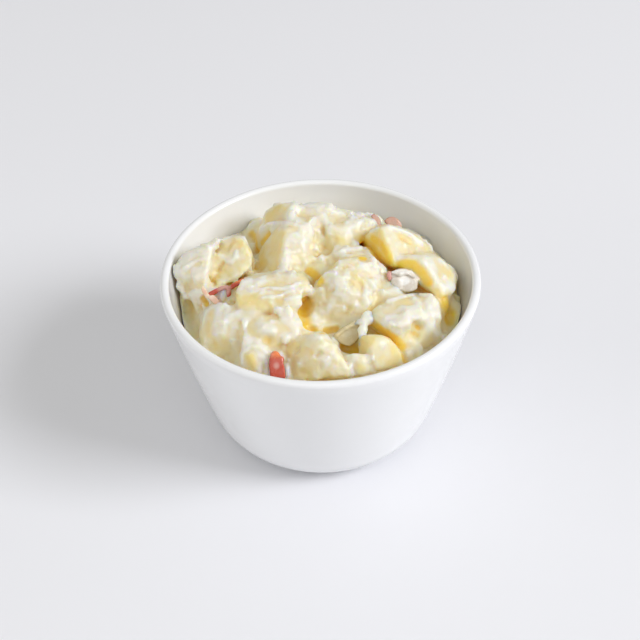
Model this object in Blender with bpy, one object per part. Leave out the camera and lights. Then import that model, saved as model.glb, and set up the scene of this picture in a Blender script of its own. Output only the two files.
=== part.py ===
"""Potato salad heaped in a round white bowl with tapered sides, resting on its foot at the origin."""

import math
import random

import bpy
import bmesh
from mathutils import Euler, Matrix, Vector

# Bowl, metres
RIM_RADIUS = 0.065
HEIGHT = 0.078
WALL = 0.0037
WALL_SLOPE = 0.27
WALL_BULGE = 0.0005
LIP_RADIUS = WALL / 2
LIP_HEIGHT = HEIGHT - LIP_RADIUS
OUTER_CORNER = 0.020
INNER_CORNER = 0.016
FLOOR_TOP = 0.0052
FOOT_RING_WIDTH = 0.0026
FOOT_RECESS = 0.0012

# Steps round and along the bowl
TURN_STEPS = 96
CORNER_STEPS = 7
WALL_STEPS = 4
LIP_STEPS = 6

# Heap, metres
GAP = 0.00035
WALL_CLEARANCE = 0.0006
CORE_EDGE = 0.058
CORE_RISE = 0.014
CORE_TURN_STEPS = 48
CHUNK_ROUND = 0.0030
CHUNK_JITTER = 0.0011
SLICE_SIDES = 20
BIT_ROUND = 0.0007
BIT_JITTER = 0.0002
MERGE = 0.00002

MM = 0.001

# Potato chunks: name, centre and size in millimetres, turn in degrees
CHUNKS = [
    ("knob", (-15, 35, 78), (16, 21, 14), (-35, 30, 20)),
    ("knob_foot", (-23, 30, 73), (15, 15, 14), (-15, 10, 40)),
    ("tall", (-12.5, 20.5, 73.5), (28, 27, 22), (-35, 12, 35)),
    ("crest", (1.5, 33, 78.5), (21, 20, 14), (-17, -18, -9)),
    ("back", (11.5, 26, 76), (22, 20, 14), (-34, 6, 34)),
    ("back_rough", (20, 31.5, 75), (14, 14, 12), (10, 10, 20)),
    ("ledge", (10, 9.5, 74), (21, 16, 11), (-20, 0, 8)),
    ("wedge", (31.5, 15.5, 74), (28, 19, 20), (-66, 40, 18)),
    ("right", (44.5, 6.5, 71), (25, 18, 20), (-50, 24, 49)),
    ("right_low", (47, -7, 64), (11, 12, 13), (0, 0, 20)),
    ("middle_side", (23.5, -7, 73), (17, 20, 16), (-20, 10, 30)),
    ("front_right", (34.5, -20, 67.5), (24, 20, 23), (-18, -10, 35)),
    ("front_small", (22.5, -35.5, 67), (16, 17, 15), (-21, 12, 22)),
    ("front_chip", (15.5, -45, 67), (10, 10, 10), (-20, 0, 0)),
    ("front", (-2.5, -39.5, 67.5), (20, 24, 18), (-21, 7, 26)),
    ("broad", (-19, -12.5, 74.5), (30, 24, 17), (-10, -5, -8)),
    ("smooth", (-18.5, -27, 70.5), (27, 19, 15), (-25, 0, 0)),
    ("left_blob", (-38.5, -23, 65.5), (17, 20, 21), (-20, 0, 20)),
    ("left_wall", (-50.5, 7, 70), (16, 20, 19), (-10, 0, 30)),
    ("left_low", (-49.5, -9, 61.5), (11, 17, 15), (0, 0, 20)),
    ("left_fill", (-37, -6.5, 68.5), (15, 17, 15), (0, 0, 10)),
    ("corner", (-27, -39.5, 66.5), (11, 13, 14), (-20, 0, -20)),
    ("pepper_seat", (-18, -43.5, 66), (13, 11, 14), (-20, 0, 0)),
    ("middle_fill", (6, -23, 64), (22, 18, 16), (-10, 0, 10)),
    ("hidden_back", (-40, 31, 55.5), (18, 17, 16), (5, 0, 35)),
    ("hidden_left", (-21, 45, 57), (17, 15, 16), (5, 5, 15)),
    ("hidden_far", (-3, 46, 60), (19, 15, 16), (8, 5, -5)),
    ("hidden_mid", (15, 46, 59.5), (17, 14, 16), (5, 8, -20)),
    ("hidden_side", (33, 34, 58), (19, 16, 16), (0, 8, -35)),
    ("hidden_right", (47, 18, 57), (15, 17, 15), (0, 10, 10)),
]

# Round potato slices: name, centre and size in millimetres, turn in degrees
SLICES = [
    ("middle", (10.7, -8.5, 74), (28, 28, 18), (48, -20, 0)),
    ("left_slice", (-37, 12.5, 74.5), (24, 26, 14), (50, -30, 0)),
]

# Pepper and onion bits: name, centre and size in millimetres, turn in degrees
BITS = [
    ("pepper_front", (-17.2, -47.5, 71), (6.2, 3, 11), (-22, 0, 0)),
    ("pepper_strip", (-38, -7.5, 76.5), (16, 3, 3.5), (0, -12, 24)),
    ("pepper_back", (23.5, 30, 81.5), (4.5, 4, 5), (0, 20, 10)),
    ("pepper_far", (31, 33.5, 76), (7, 4, 5.5), (0, 10, -20)),
    ("onion_right", (33.5, -5, 78), (12, 7, 8), (-30, 5, 5)),
    ("onion_low", (9.5, -28.5, 71.5), (10, 7, 3.4), (-35, -18, 10)),
    ("onion_thread", (17, -27.5, 76), (4, 4, 9), (-25, 20, 0)),
]


def clear_scene():
    """Empty the file before modelling."""
    for item in list(bpy.data.objects):
        bpy.data.objects.remove(item)


def add_object(name, mesh, collection=None):
    """Link a mesh as a named object."""
    item = bpy.data.objects.new(name, mesh)
    (collection or bpy.context.scene.collection).objects.link(item)
    return item


def plain_material(name, colour, roughness):
    """A plain coloured surface."""
    material = bpy.data.materials.new(name)
    material.use_nodes = True
    shader = material.node_tree.nodes["Principled BSDF"]
    shader.inputs["Base Color"].default_value = (*colour, 1.0)
    shader.inputs["Roughness"].default_value = roughness
    shader.inputs["Metallic"].default_value = 0.0
    return material


def spaced(start, end, steps):
    """Evenly spaced values from start to end, both included."""
    return [start + (end - start) * i / steps for i in range(steps + 1)]


def corner_join(radius):
    """Height and reach of the point where a rounded corner of this radius meets the wall."""
    lean = math.atan(WALL_SLOPE)
    return radius * (1 - math.sin(lean)), radius * math.cos(lean)


def corner_heights(radius, steps):
    """Heights that step evenly round a corner, from its flat part to its join with the wall."""
    turn = math.pi / 2 - math.atan(WALL_SLOPE)
    return [radius * (1 - math.cos(a)) for a in spaced(0.0, turn, steps)]


def sloped_wall(z):
    """Radius of the outer wall's near-straight part, which swells a little between corner and lip."""
    low = corner_join(OUTER_CORNER)[0]
    share = (z - low) / (LIP_HEIGHT - low)
    return RIM_RADIUS - WALL_SLOPE * (LIP_HEIGHT - z) + 4 * WALL_BULGE * share * (1 - share)


def corner_arc(z, flat, radius):
    """Radius of a rounded corner at a height above its flat part."""
    return flat + math.sqrt(max(radius ** 2 - (radius - max(z, 0.0)) ** 2, 0.0))


def outer_radius(z):
    """Radius of the outside of the bowl at a height."""
    join, reach = corner_join(OUTER_CORNER)
    if z >= join:
        return sloped_wall(z)
    return corner_arc(z, sloped_wall(join) - reach, OUTER_CORNER)


def inner_radius(z):
    """Radius of the inside of the bowl at a height above its floor."""
    join, reach = corner_join(INNER_CORNER)
    if z - FLOOR_TOP >= join:
        return sloped_wall(z) - WALL
    flat = sloped_wall(FLOOR_TOP + join) - WALL - reach
    return corner_arc(z - FLOOR_TOP, flat, INNER_CORNER)


def turn_profile(name, profile, steps):
    """Turn a profile of radius and height pairs round the upright axis."""
    mesh = bpy.data.meshes.new(name)
    edges = [(i, i + 1) for i in range(len(profile) - 1)]
    mesh.from_pydata([(r, 0.0, z) for r, z in profile], edges, [])
    item = add_object(name, mesh)
    screw = item.modifiers.new("turn", "SCREW")
    screw.axis = "Z"
    screw.angle = 2 * math.pi
    screw.steps = steps
    screw.render_steps = steps
    screw.use_merge_vertices = True
    screw.merge_threshold = MERGE
    screw.use_smooth_shade = True
    return item


def bowl_profile():
    """Section of the bowl: up the inside, over the lip, down the outside and under the foot."""
    inside = [FLOOR_TOP + z for z in corner_heights(INNER_CORNER, CORNER_STEPS)]
    outside = corner_heights(OUTER_CORNER, CORNER_STEPS)
    ring = outer_radius(0.0) - FOOT_RING_WIDTH
    points = [(0.0, FLOOR_TOP)]
    points += [(inner_radius(z), z) for z in inside]
    points += [(inner_radius(z), z) for z in spaced(inside[-1], LIP_HEIGHT, WALL_STEPS)[1:]]
    for turn in spaced(math.pi, 0.0, LIP_STEPS)[1:-1]:
        r = RIM_RADIUS - LIP_RADIUS + LIP_RADIUS * math.cos(turn)
        points.append((r, LIP_HEIGHT + LIP_RADIUS * math.sin(turn)))
    points += [(outer_radius(z), z) for z in spaced(LIP_HEIGHT, outside[-1], WALL_STEPS)]
    points += [(outer_radius(z), z) for z in reversed(outside[:-1])]
    points += [(ring, 0.0), (ring - FOOT_RECESS, FOOT_RECESS), (0.0, FOOT_RECESS)]
    return points


def build_bowl():
    """The turned bowl, with a rounded lip and a low foot ring."""
    bowl = turn_profile("bowl", bowl_profile(), TURN_STEPS)
    bowl.data.materials.append(plain_material("white_glaze", (0.88, 0.88, 0.87), 0.18))
    return bowl


def core_profile():
    """Section of the plain filling below the chunks, from the middle of its top down to its underside."""
    corner = corner_heights(INNER_CORNER, CORNER_STEPS)
    low = FLOOR_TOP + corner[-1]
    side = [(inner_radius(z) - GAP, z + GAP) for z in spaced(CORE_EDGE, low, WALL_STEPS)]
    edge = side[0][0]
    points = []
    for r in spaced(0.0, edge, CORNER_STEPS)[:-1]:
        points.append((r, CORE_EDGE + GAP + CORE_RISE * (1 - (r / edge) ** 2)))
    points += side
    points += [(inner_radius(FLOOR_TOP + z) - GAP, FLOOR_TOP + GAP + z) for z in reversed(corner[:-1])]
    points.append((0.0, FLOOR_TOP + GAP))
    return points


def keep_off_wall(mesh):
    """Move corners that would touch the bowl inward, as food pressed against its wall."""
    for vertex in mesh.vertices:
        reach = math.hypot(vertex.co.x, vertex.co.y)
        limit = inner_radius(vertex.co.z) - WALL_CLEARANCE
        if vertex.co.z < HEIGHT and reach > limit:
            vertex.co.x *= limit / reach
            vertex.co.y *= limit / reach


def finish_piece(name, form, centre, turn, collection):
    """Place a piece of the heap and keep it off the wall."""
    angles = Euler([math.radians(a) for a in turn], "XYZ")
    matrix = Matrix.Translation(Vector(centre) * MM) @ angles.to_matrix().to_4x4()
    bmesh.ops.transform(form, matrix=matrix, verts=form.verts)
    mesh = bpy.data.meshes.new(name)
    form.to_mesh(mesh)
    form.free()
    keep_off_wall(mesh)
    add_object(name, mesh, collection)


def add_block(name, centre, size, turn, collection, rounding, segments, jitter):
    """A six-sided piece with uneven corners and rounded edges."""
    draw = random.Random(name)
    form = bmesh.new()
    bmesh.ops.create_cube(form, size=1.0)
    for vertex in form.verts:
        for k in range(3):
            vertex.co[k] = vertex.co[k] * size[k] * MM + draw.uniform(-jitter, jitter)
    bmesh.ops.bevel(form, geom=list(form.edges), offset=rounding, segments=segments,
                    profile=0.5, affect="EDGES", clamp_overlap=True)
    finish_piece(name, form, centre, turn, collection)


def add_slice(name, centre, size, turn, collection):
    """A round slice of potato with rounded edges."""
    form = bmesh.new()
    bmesh.ops.create_cone(form, cap_ends=True, segments=SLICE_SIDES, radius1=0.5, radius2=0.5, depth=1.0)
    bmesh.ops.scale(form, vec=[s * MM for s in size], verts=form.verts)
    rims = [e for e in form.edges if abs(e.verts[0].co.z - e.verts[1].co.z) < MERGE]
    bmesh.ops.bevel(form, geom=rims, offset=CHUNK_ROUND, segments=2, profile=0.5, affect="EDGES")
    finish_piece(name, form, centre, turn, collection)


def connected_shells(form):
    """Lists of faces that hang together by their edges, the smallest list first."""
    left = set(form.faces)
    shells = []
    while left:
        stack = [left.pop()]
        shell = list(stack)
        while stack:
            near = {face for edge in stack.pop().edges for face in edge.link_faces}
            for face in near & left:
                left.remove(face)
                stack.append(face)
                shell.append(face)
        shells.append(shell)
    return sorted(shells, key=len)


def keep_outer_shell(mesh):
    """Close sealed hollows and drop loose scraps, so that one closed body is left."""
    form = bmesh.new()
    form.from_mesh(mesh)
    bmesh.ops.remove_doubles(form, verts=form.verts, dist=MERGE)
    bmesh.ops.dissolve_degenerate(form, dist=MERGE, edges=form.edges)
    bmesh.ops.triangulate(form, faces=form.faces)
    spare = [face for shell in connected_shells(form)[:-1] for face in shell]
    bmesh.ops.delete(form, geom=spare, context="FACES")
    loose = [v for v in form.verts if not v.link_faces]
    bmesh.ops.delete(form, geom=loose, context="VERTS")
    form.to_mesh(mesh)
    form.free()


def fuse(core, pieces):
    """Join a collection of pieces to the core as one body, and remove them."""
    union = core.modifiers.new("fuse", "BOOLEAN")
    union.operation = "UNION"
    union.operand_type = "COLLECTION"
    union.collection = pieces
    union.solver = "EXACT"
    depsgraph = bpy.context.evaluated_depsgraph_get()
    joined = bpy.data.meshes.new_from_object(core.evaluated_get(depsgraph))
    core.modifiers.clear()
    core.data = joined
    for piece in list(pieces.objects):
        bpy.data.objects.remove(piece)
    bpy.data.collections.remove(pieces)


def build_salad():
    """The heap: a core that fills the bowl, with its chunks, pepper and onion fused on."""
    heap = turn_profile("potato_salad", core_profile(), CORE_TURN_STEPS)
    pieces = bpy.data.collections.new("pieces")
    bpy.context.scene.collection.children.link(pieces)
    for name, centre, size, turn in CHUNKS:
        add_block(name, centre, size, turn, pieces, CHUNK_ROUND, 2, CHUNK_JITTER)
    for name, centre, size, turn in SLICES:
        add_slice(name, centre, size, turn, pieces)
    for name, centre, size, turn in BITS:
        add_block(name, centre, size, turn, pieces, BIT_ROUND, 1, BIT_JITTER)
    fuse(heap, pieces)
    keep_outer_shell(heap.data)
    heap.data.materials.clear()
    heap.data.materials.append(plain_material("cream_salad", (0.83, 0.74, 0.42), 0.42))
    heap.data.shade_smooth()
    heap.data.set_sharp_from_angle(angle=math.radians(30))
    return heap


clear_scene()
build_bowl()
build_salad()
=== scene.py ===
"""Looks for a round white bowl heaped with creamy potato salad."""

import math

import bpy
import bmesh
import numpy as np
from mathutils import Euler, Matrix, Vector


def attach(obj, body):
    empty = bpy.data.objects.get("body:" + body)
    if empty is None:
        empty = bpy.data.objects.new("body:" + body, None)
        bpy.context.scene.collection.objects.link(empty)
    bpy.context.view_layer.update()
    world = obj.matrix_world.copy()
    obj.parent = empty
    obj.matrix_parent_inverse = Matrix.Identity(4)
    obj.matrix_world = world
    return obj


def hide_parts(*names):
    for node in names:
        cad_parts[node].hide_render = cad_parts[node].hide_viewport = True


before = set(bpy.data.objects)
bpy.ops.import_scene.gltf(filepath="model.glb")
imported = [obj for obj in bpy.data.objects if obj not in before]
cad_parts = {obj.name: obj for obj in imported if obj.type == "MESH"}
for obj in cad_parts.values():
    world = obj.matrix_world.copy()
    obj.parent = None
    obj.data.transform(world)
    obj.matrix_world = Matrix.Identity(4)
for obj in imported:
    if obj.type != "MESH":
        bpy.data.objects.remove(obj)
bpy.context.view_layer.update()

MM = 0.001

# Bowl, as in the CAD, millimetres
RIM_RADIUS = 65.0
HEIGHT = 78.0
WALL = 3.7
WALL_SLOPE = 0.27
WALL_BULGE = 0.5
LIP_RADIUS = WALL / 2
LIP_HEIGHT = HEIGHT - LIP_RADIUS
OUTER_CORNER = 20.0
INNER_CORNER = 16.0
FLOOR_TOP = 5.2
FOOT_RING_WIDTH = 2.6
FOOT_RECESS = 1.2

# Steps round and along the bowl, and its merge distance in metres
BOWL_STEPS = 256
CORNER_STEPS = 16
WALL_STEPS = 12
LIP_STEPS = 16
MERGE = 0.00002

# Camera, fitted to the bowl: place and aim in millimetres
CAMERA_PLACE = Vector((0.0, -447.5, 454.8))
CAMERA_AIM = Vector((-0.435, 0.0, 52.4))
CAMERA_ROLL = math.radians(-0.97)
FOCAL_PIXELS = 1443.6
IMAGE_SIDE = 640
SENSOR = 36.0

# Lights: name, place and aim in metres, size, power and colour
LIGHTS = [
    ("key", (2.58, -0.82, 2.03), (0, 0, 0.04), (1.3, 1.3), 80.0, (0.965, 0.97, 1.0)),
    ("left_fill", (-2.0, -0.5, 0.7), (0, 0, 0.05), (1.6, 1.0), 9.0, (1.0, 0.99, 0.97)),
    ("front_fill", (-0.3, -1.6, 2.2), (0, 0, 0.05), (1.6, 1.6), 8.5, (1.0, 0.99, 0.97)),
]

# Sky: colour, and its strength level with the table and above it
SKY_COLOUR = (1.0, 0.995, 0.965)
SKY_LOW = 0.29
SKY_HIGH = 0.52
SKY_FADE = 0.8
FLOOR_REACH = 3.0

# Grids of fields, millimetres. A field says how far points lie outside a form, below zero inside it.
FIELD_LOW = (-60.5, -59.0, 50.0)
FIELD_HIGH = (60.5, 59.0, 92.9)
FIELD_STEP = 0.45
BIT_STEP = 0.22
EMPTY = 30.0
WHOLE = (slice(None),) * 3

# Heap, millimetres
HEAP_FLOOR = 53.0
HEAP_TOP = 91.0
WALL_CLEARANCE = 0.6
CHUNK_EDGE = 0.75
CHUNK_JOIN = 0.6
PLAIN_FINISH = (0.10, 0.0, 2.8)
FILLING_LEVEL = 58.0
FILLING_AT_WALL = 63.0
FILLING_RISE = 10.5
FILLING_SWELL = 0.5
FILLING_JOIN = 4.0
FILLING_DEPTH = 2.0
FILLING_EDGE = 0.8
SURFACE_FACES = 195000

# Filling below the heap's surface, millimetres
CORE_HEIGHTS = [55.0, 42.0, 30.0, 19.0, 15.0, 11.0, 8.0, 6.2, FLOOR_TOP + 0.35]
CORE_RISE = 2.0
CORE_GAP = 0.5
CORE_STEPS = 72

# Random lumps: width in millimetres, and how much they swell the potato, its torn grain and the dressing.
# The highest small ones are beads of dressing.
LUMPS = {"broad": 7.5, "medium": 3.6, "fine": 1.7, "tiny": 0.95}
POTATO_SWELL = {"broad": 0.34, "medium": 0.12}
GRAIN_SWELL = {"fine": 0.7, "tiny": 0.5}
DRESSING_SWELL = {"broad": 0.30, "medium": 0.30, "fine": 0.16, "beads": 0.22}
DRESSING_SINK = 0.42
BEADS = {"tiny": 1.3, "fine": 1.5}

# Wavy ridges across some chunks, in millimetres and degrees
RIPPLE_LENGTH = 3.4
RIPPLE_SLANT = 0.25
RIPPLE_WARP = 2.2
RIPPLE_TURN = 25
RIPPLED = {"middle": 0.08, "broad": 0.08, "left_slice": 0.06}

# Planes of a chunk: smallest face in square millimetres, cosine at which two count as one, and rounding
SMALLEST_FACE = 0.5
SAME_WAY = 0.995
PLANE_SHARE = 0.75
LARGEST_POWER = 60

# Filling where a surface would touch itself
PINCH_PASSES = 8
PINCH_FILL = 0.02

# Rays from the camera to the heap in millimetres, and steps along a stroke in pixels and millimetres
RAY_TOP = HEAP_TOP + 0.9
RAY_STEP = 0.25
RAY_STEPS = 240
TRACE_STEP = 1.5
LONGEST_STEP = 3.0

# Strokes, in shares of their radius, and how much wiping takes off and how much painted amber shade it
# leaves
RIDGE_RISE = 0.75
RIDGE_JOIN = 0.9
GROOVE_REACH = 0.8
WIPED = {"bare": (1.0, 0.25), "amber": (1.2, 1.0)}

# How shut in a place is, for the painted crevice shade: depth under it in millimetres, and reaches about
# that in grid points
SHADE_DEPTH = 1.2
SHADE_REACHES = (5, 11)

# Pepper and onion, and strands of dressing, millimetres
BIT_EDGE = 0.35
BIT_JOIN = 0.5
BIT_BEND = 3.0
BIT_GRAIN = 1.0
GRAIN_SHARE = 0.3
FOLD_JOIN = 0.9
SKIN_SHARE = 0.6
SMEAR_LUMP = 2.6
SMEAR = 0.18
# Each bit is whiter in its middle as the camera sees it: partly a smear of dressing, partly a painted
# highlight.
SMEAR_AND_HIGHLIGHT_MIDDLE = 0.62
SMEAR_AND_HIGHLIGHT_REACH = 2.2
STRAND_JOIN = 1.4
STRAND_LUMP = 1.6
STRAND_SWELL = 0.24
STRAND_COAT = 1.0
STRAND_SHADE = 0.3

# Colours of the pepper and onion: skin, cut flesh, mottling, end, smears, and how far light sinks in
STUFFS = {
    "red_pepper": ((0.40, 0.022, 0.016), (0.56, 0.10, 0.06), (0.50, 0.07, 0.05),
        (0.84, 0.27, 0.10), (0.66, 0.35, 0.30), (1.0, 0.25, 0.15)),
    "pink_pepper": ((0.72, 0.24, 0.17), (0.84, 0.58, 0.44), (0.80, 0.42, 0.30),
        (0.88, 0.74, 0.55), (0.86, 0.72, 0.58), (1.0, 0.35, 0.2)),
    # Pepper far back in shade: dulled by dressing, and darker with painted shade.
    "shaded_dull_pepper": ((0.52, 0.24, 0.17), (0.64, 0.40, 0.30), (0.58, 0.34, 0.24),
        (0.58, 0.34, 0.26), (0.60, 0.40, 0.31), (1.0, 0.35, 0.2)),
    "white_onion": ((0.84, 0.81, 0.77), (0.72, 0.66, 0.58), (0.88, 0.86, 0.82),
        (0.88, 0.86, 0.82), (0.90, 0.88, 0.84), (1.0, 0.9, 0.8)),
    "sodden_onion": ((0.65, 0.55, 0.31), (0.69, 0.59, 0.35), (0.71, 0.62, 0.39),
        (0.67, 0.58, 0.36), (0.73, 0.64, 0.43), (1.0, 0.8, 0.5)),
}

# Chunks that the camera sees: name, finish, depth ahead of the camera and thickness in millimetres, and
# corners as image place and how much farther that is. A finish is the height of the torn grain, how much
# more dressing lies on the chunk, and how widely it flows into the next.
# Thin or negative dressing also leaves chunks in shade yellower: partly bare potato, partly painted shade.
CHUNKS = [
    ("knob", (0.12, 0.05, 2.5), 597, 17, (278.5, 203.5, 6), (290, 204, 2), (299.5, 209, 5),
     (304.5, 216.5, 8), (303.5, 229.5, 8), (290.5, 210, 0), (293.5, 227.5, -1), (265, 213.5, 10),
     (263, 221.5, 11), (263, 230.5, 10), (272, 207, 9)),
    ("knob_foot", (0.1, 0.0, 2.8), 600, 13, (255, 247.5, 11), (256.5, 234, 11), (260.5, 227.5, 8),
     (275.5, 224.5, 0), (283.5, 227.5, 0), (278.5, 241.5, 2), (264, 255, 7)),
    ("tall", (0.12, 0.05, 3.2), 585, 20, (283.5, 229.5, 4), (282.5, 249.5, 1), (282, 277, 0),
     (278.5, 228, 9), (270, 236.5, 13), (260, 251.5, 16), (253, 269, 18), (252.5, 277, 17), (303.5, 224, 7),
     (323, 226.5, 12), (327, 234.5, 12), (327.5, 251.5, 11), (321, 257.5, 9), (301.5, 275, 4)),
    ("crest", (0.12, 0.9, 4.0), 596, 17, (295.5, 211.5, 4), (301.5, 208, 5), (315.5, 210.5, 5),
     (335, 211, 6), (343, 212.5, 8), (350, 218.5, 9), (349, 224.5, 6), (339, 227.5, 2), (315.5, 229.5, 3),
     (299.5, 227.5, 4)),
    ("back", (0.1, 0.35, 2.2), 590, 17, (335.5, 227, 1), (347, 250.5, 0), (325.5, 226, 3.5), (326, 255, 4),
     (359.5, 219.5, 9), (372.5, 221.5, 12), (374.5, 235.5, 10), (360.5, 242, 5), (355, 247.5, 2)),
    ("back_rough", (0.36, 0.3, 3.0), 599, 14, (354, 219.5, 4), (359.5, 217, 4), (368.5, 216.5, 5),
     (374.5, 221.5, 7), (380.5, 227.5, 8), (379.5, 232.5, 6), (370.5, 237.5, 1), (359, 237.5, 0)),
    ("ledge", (0.18, 0.15, 3.0), 584, 14, (323, 258, 6), (337, 250.5, 7), (370.5, 247.5, 6), (374.5, 257, 3),
     (362.5, 269, 0), (333, 273, 0), (323, 275, 1), (311.5, 277, 5)),
    ("wedge", (0.1, -0.35, 2.2), 581, 18, (379.5, 225.5, 4), (385.5, 239.5, 1), (393, 267.5, 0),
     (359.5, 239.5, 17), (362.5, 245.5, 16), (374.5, 253.5, 12), (384.5, 264, 7), (388.5, 224.5, 7),
     (404, 230.5, 10), (422, 239.5, 13), (430, 249.5, 14), (431, 258, 12), (410, 269, 4)),
    ("right", (0.08, 0.1, 2.2), 579.5, 17, (395.5, 261.5, 2), (405, 258, 2), (420, 262, 0), (430, 271, 0),
     (436, 281, 0), (439.5, 298.5, 1), (422, 251.5, 8), (434, 253.5, 9), (448.5, 264.5, 10),
     (456.5, 274, 11), (457.5, 278, 10), (457, 286, 7), (447.5, 295, 3), (391.5, 266, 11), (412, 277, 11),
     (422, 289, 11), (434, 296, 6)),
    ("right_low", (0.16, 0.0, 3.0), 579, 12, (432, 295, 3), (447.5, 298, 5), (447.5, 312.5, 5),
     (438, 320.5, 3), (428, 308.5, 0)),
    ("middle_side", (0.12, 0.1, 3.5), 571, 15, (370.5, 269, 8), (382.5, 269, 9), (388.5, 283, 6),
     (400.5, 295, 4), (399.5, 308.5, 3), (374.5, 316.5, 1), (362.5, 308.5, 0)),
    ("middle", (0.32, 0.15, 3.0), 570, 14, (311, 298, 4.5), (312.5, 287, 5.5), (321, 277, 5), (333, 266, 5),
     (343, 258, 5), (362.5, 255, 6), (374.5, 260, 7), (382.5, 269, 8), (386.5, 279, 9), (388, 293, 9),
     (374.5, 308.5, 6), (355, 319.5, 4), (339, 328.5, 5), (327, 330.5, 5), (316, 327, 6), (311.5, 316.5, 5),
     (343, 289, 0), (359, 300.5, 0), (337, 308.5, 1), (355, 279, 1)),
    ("front_right", (0.12, 0.38, 2.4), 560, 17, (392.5, 325, 0), (406.5, 360.5, 5), (371.5, 311, 6.5),
     (386.5, 300.5, 11), (418, 297, 13), (430, 296, 14), (434, 308, 11), (437, 320, 12), (444, 338, 14),
     (364.5, 321.5, 8), (380.5, 333.5, 10), (394.5, 346, 9), (402, 358, 8)),
    ("front_small", (0.06, -0.45, 2.6), 553.5, 14, (368.5, 334, 3), (359, 334.5, 5), (357, 341, 7.5),
     (357, 362, 8.5), (371.5, 342, 0), (375, 371, 2), (388, 336.5, 3), (396.5, 345.5, 5), (403, 354.5, 8),
     (404, 362.5, 9), (390.5, 368.5, 5)),
    ("front_chip", (0.08, 0.15, 4.5), 552, 9, (349, 357, 3), (362.5, 355, 2), (371.5, 363.5, 3.5),
     (373, 372, 4.5), (355, 377, 2), (362.5, 366, 0)),
    ("front", (0.2, 0.35, 4.5), 549, 16, (320, 332.5, 4), (303.5, 335.5, 7), (290.5, 341, 8),
     (283.5, 354, 9.5), (285.5, 378, 10), (331, 340.5, 2), (340, 350, 2), (346, 360, 2), (352, 377, 3),
     (315.5, 348, 0), (323, 380, 2), (303.5, 381, 4)),
    ("broad", (0.18, 0.2, 3.0), 563, 18, (249, 275.5, 12), (275.5, 274.5, 12), (303.5, 274.5, 12),
     (310.5, 281.5, 9), (240, 283, 9), (235, 295, 5), (244, 302.5, 1), (264, 306.5, 0), (287.5, 306.5, 0),
     (291.5, 300.5, 2), (308.5, 295, 9), (311, 288, 9.5), (238, 316.5, 3), (264, 324.5, 3),
     (285.5, 318.5, 3), (293.5, 308.5, 4)),
    ("smooth", (0.08, 0.35, 6.5), 558.5, 14, (240, 316.5, 6), (275.5, 312.5, 5), (288.5, 315, 6),
     (303.5, 324.5, 9), (306, 333.5, 8), (291.5, 343, 2), (268, 350, 1), (244, 348, 3), (238, 332.5, 6),
     (273.5, 328.5, 0), (291.5, 328.5, 1.5), (254, 334.5, 1)),
    ("left_blob", (0.12, 0.2, 6.0), 563.5, 15, (198.5, 335.5, 8), (201.5, 324.5, 9), (210.5, 311, 8),
     (224.5, 306.5, 7), (238, 309.5, 6), (243, 320.5, 5), (242.5, 344, 4), (240, 366, 6), (220.5, 358, 6),
     (204.5, 346, 7), (224.5, 332.5, 0), (220.5, 322.5, 2)),
    ("left_slice", (0.2, 0.1, 3.2), 586, 12, (213.5, 248.5, 11), (218, 244, 12), (224.5, 238, 12),
     (234, 235.5, 10.5), (242, 237.5, 8), (248, 243.5, 5.5), (253, 251, 3.5), (254, 256, 3), (251, 267, 1),
     (242, 277, 0), (224.5, 286, 1), (210.5, 285, 5), (203.5, 277, 6), (206.5, 261, 8), (230, 259, 3)),
    ("left_wall", (0.16, 0.5, 3.4), 582, 15, (177, 269, 8), (180, 263, 9), (194.5, 255, 8), (203.5, 251, 8),
     (213.5, 246.5, 8), (207.5, 261, 2), (203.5, 277, 0), (204.5, 300.5, 3), (194.5, 307, 6),
     (187.5, 300.5, 8), (180, 285, 8)),
    ("left_low", (0.12, -0.3, 4.0), 594, 12, (184, 297, 8), (200.5, 306.5, 2), (212.5, 306.5, 0),
     (212.5, 318.5, 0), (198.5, 341, 4), (188.5, 328.5, 7)),
    ("left_fill", (0.16, 0.05, 5.5), 576.5, 14, (210.5, 290, 6), (226.5, 287, 4), (242, 285, 2),
     (238, 316.5, 2), (212.5, 316.5, 4), (207.5, 304.5, 6), (224.5, 302.5, 0)),
    ("corner", (0.12, 0.15, 5.0), 554.5, 11, (241, 358, 4), (244, 348, 4), (252, 346, 4), (260, 347, 4),
     (263, 354, 4), (261, 368, 3), (258, 376, 4), (244, 368, 5), (252, 358, 0)),
    ("pepper_seat", (0.1, 0.4, 4.0), 556, 10, (259.5, 368, 3), (261, 358, 3), (270, 352, 3), (291.5, 352, 3),
     (303.5, 378, 3), (260, 377, 2), (277.5, 364, 0)),
    ("middle_fill", (0.12, -0.3, 5.0), 578, 12, (301.5, 308.5, 4), (323, 306.5, 0), (362.5, 316.5, 0),
     (370.5, 340.5, 3), (355, 364, 4), (323, 344, 3), (303.5, 332.5, 4)),
    ("hollow_fill", (0.12, -0.4, 4.0), 584.8, 12, (297.5, 277, 3), (304.5, 263.5, 4), (323, 263, 3),
     (333, 273, 0), (323, 289, 0), (303.5, 289, 1), (313.5, 277, 0)),
    ("wall_fill", (0.24, -0.2, 4.0), 588, 10, (440, 303, 3), (449, 297, 4), (455, 303, 4), (455, 320, 3),
     (448, 333, 1), (440, 334, 0)),
]

# Chunks behind the heap's top: centre and size in millimetres, turn in degrees
HIDDEN = [
    ((-40, 31, 55.5), (18, 17, 16), (5, 0, 35)),
    ((-21, 45, 57), (17, 15, 16), (5, 5, 15)),
    ((-3, 46, 60), (19, 15, 16), (8, 5, -5)),
    ((15, 46, 59.5), (17, 14, 16), (5, 8, -20)),
    ((33, 34, 58), (19, 16, 16), (0, 8, -35)),
    ((47, 18, 57), (15, 17, 15), (0, 10, 10)),
]

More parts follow.
